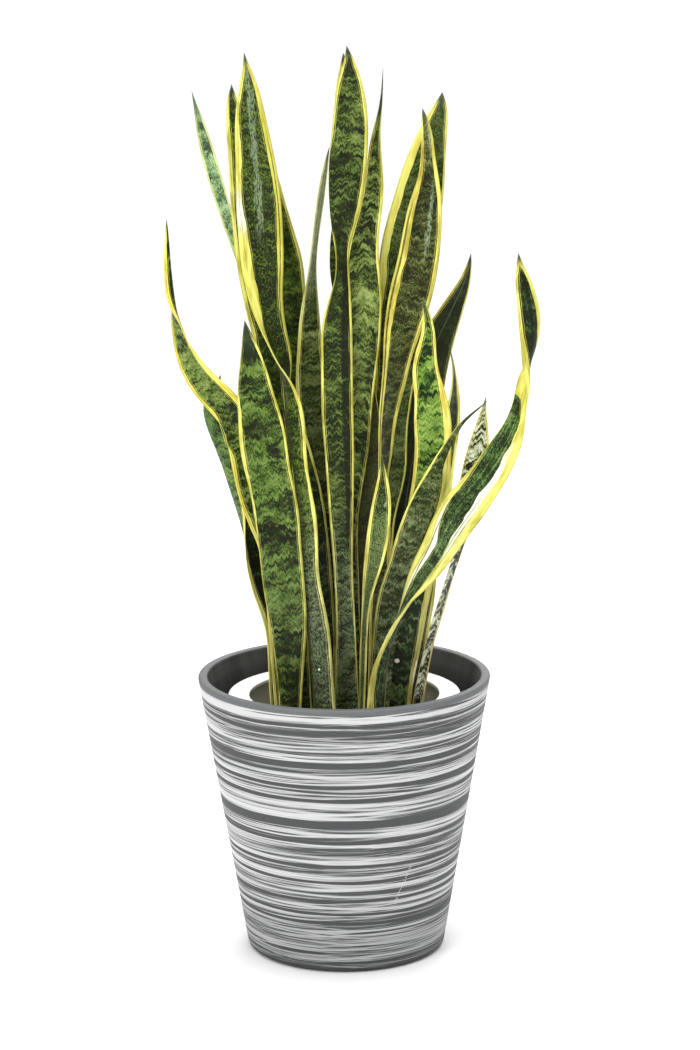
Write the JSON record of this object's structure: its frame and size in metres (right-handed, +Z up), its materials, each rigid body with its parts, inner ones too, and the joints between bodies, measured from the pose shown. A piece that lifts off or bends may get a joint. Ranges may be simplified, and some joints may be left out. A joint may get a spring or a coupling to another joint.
{
  "type": "potted laurentii snake plant",
  "caption": "Upright sword-leaved plant with yellow-edged banded leaves, in soil in a grow pot with a white collar inside a tapered round planter with brushed stripes.",
  "frame": {"origin": "middle of the planter's flat underside, on the planter's axis", "axes": "+Z up along the planter's axis, -Y towards the plant's front, +X to the front view's right"},
  "size_m": [0.429, 0.35, 1.0824],
  "materials": {
    "planter": "dark grey moulded resin brushed with horizontal silver-white streaks, satin",
    "grow_pot": "olive-grey plastic, matt",
    "collar": "white plastic, satin",
    "soil": "dark moist potting soil, rough",
    "leaf_front_left_broad": "waxy leaf, dark green with lighter zigzag crossbands and yellow margins, satin",
    "leaf_left_sweep": "waxy leaf, dark green with lighter zigzag crossbands and yellow margins, satin",
    "leaf_left_low": "waxy leaf, dark green with lighter zigzag crossbands and yellow margins, satin",
    "leaf_left_dark": "waxy leaf, dark green with lighter zigzag crossbands and yellow margins, satin",
    "leaf_left_tall": "waxy leaf, dark green with lighter zigzag crossbands and yellow margins, satin",
    "leaf_left_back": "waxy leaf, dark green with lighter zigzag crossbands and yellow margins, satin",
    "leaf_far_left_slender": "waxy leaf, dark green with lighter zigzag crossbands and yellow margins, satin",
    "leaf_centre_left_short": "waxy leaf, dark green with lighter zigzag crossbands and yellow margins, satin",
    "leaf_centre_left_slender": "waxy leaf, dark green with lighter zigzag crossbands and yellow margins, satin",
    "leaf_centre_tall": "waxy leaf, dark green with lighter zigzag crossbands and yellow margins, satin",
    "leaf_centre_tall_behind": "waxy leaf, dark green with lighter zigzag crossbands and yellow margins, satin",
    "leaf_centre_long_tip": "waxy leaf, dark green with lighter zigzag crossbands and yellow margins, satin",
    "leaf_centre_dark": "waxy leaf, dark green with lighter zigzag crossbands and yellow margins, satin",
    "leaf_front_short": "waxy leaf, dark green with lighter zigzag crossbands and yellow margins, satin",
    "leaf_right_tall_front": "waxy leaf, dark green with lighter zigzag crossbands and yellow margins, satin",
    "leaf_right_tall_back": "waxy leaf, dark green with lighter zigzag crossbands and yellow margins, satin",
    "leaf_front_right_wavy": "waxy leaf, dark green with lighter zigzag crossbands and yellow margins, satin",
    "leaf_front_whisker": "waxy leaf, dark green with lighter zigzag crossbands and yellow margins, satin",
    "leaf_front_right_sweep": "waxy leaf, dark green with lighter zigzag crossbands and yellow margins, satin",
    "leaf_right_pale": "waxy leaf, dark green with lighter zigzag crossbands and yellow margins, satin",
    "leaf_right_short_back": "waxy leaf, dark green with lighter zigzag crossbands and yellow margins, satin",
    "leaf_right_lean_back": "waxy leaf, dark green with lighter zigzag crossbands and yellow margins, satin",
    "leaf_back_left": "waxy leaf, dark green with lighter zigzag crossbands and yellow margins, satin",
    "leaf_back_left_centre": "waxy leaf, dark green with lighter zigzag crossbands and yellow margins, satin",
    "leaf_back_centre": "waxy leaf, dark green with lighter zigzag crossbands and yellow margins, satin",
    "leaf_back_right": "waxy leaf, dark green with lighter zigzag crossbands and yellow margins, satin"
  },
  "bodies": {
    "root": {"planter": "planter", "grow_pot": "grow_pot", "collar": "collar", "soil": "soil", "leaf_front_left_broad": "leaf_front_left_broad", "leaf_left_sweep": "leaf_left_sweep", "leaf_left_low": "leaf_left_low", "leaf_left_dark": "leaf_left_dark", "leaf_left_tall": "leaf_left_tall", "leaf_left_back": "leaf_left_back", "leaf_far_left_slender": "leaf_far_left_slender", "leaf_centre_left_short": "leaf_centre_left_short", "leaf_centre_left_slender": "leaf_centre_left_slender", "leaf_centre_tall": "leaf_centre_tall", "leaf_centre_tall_behind": "leaf_centre_tall_behind", "leaf_centre_long_tip": "leaf_centre_long_tip", "leaf_centre_dark": "leaf_centre_dark", "leaf_front_short": "leaf_front_short", "leaf_right_tall_front": "leaf_right_tall_front", "leaf_right_tall_back": "leaf_right_tall_back", "leaf_front_right_wavy": "leaf_front_right_wavy", "leaf_front_whisker": "leaf_front_whisker", "leaf_front_right_sweep": "leaf_front_right_sweep", "leaf_right_pale": "leaf_right_pale", "leaf_right_short_back": "leaf_right_short_back", "leaf_right_lean_back": "leaf_right_lean_back", "leaf_back_left": "leaf_back_left", "leaf_back_left_centre": "leaf_back_left_centre", "leaf_back_centre": "leaf_back_centre", "leaf_back_right": "leaf_back_right"}
  },
  "joints": []
}
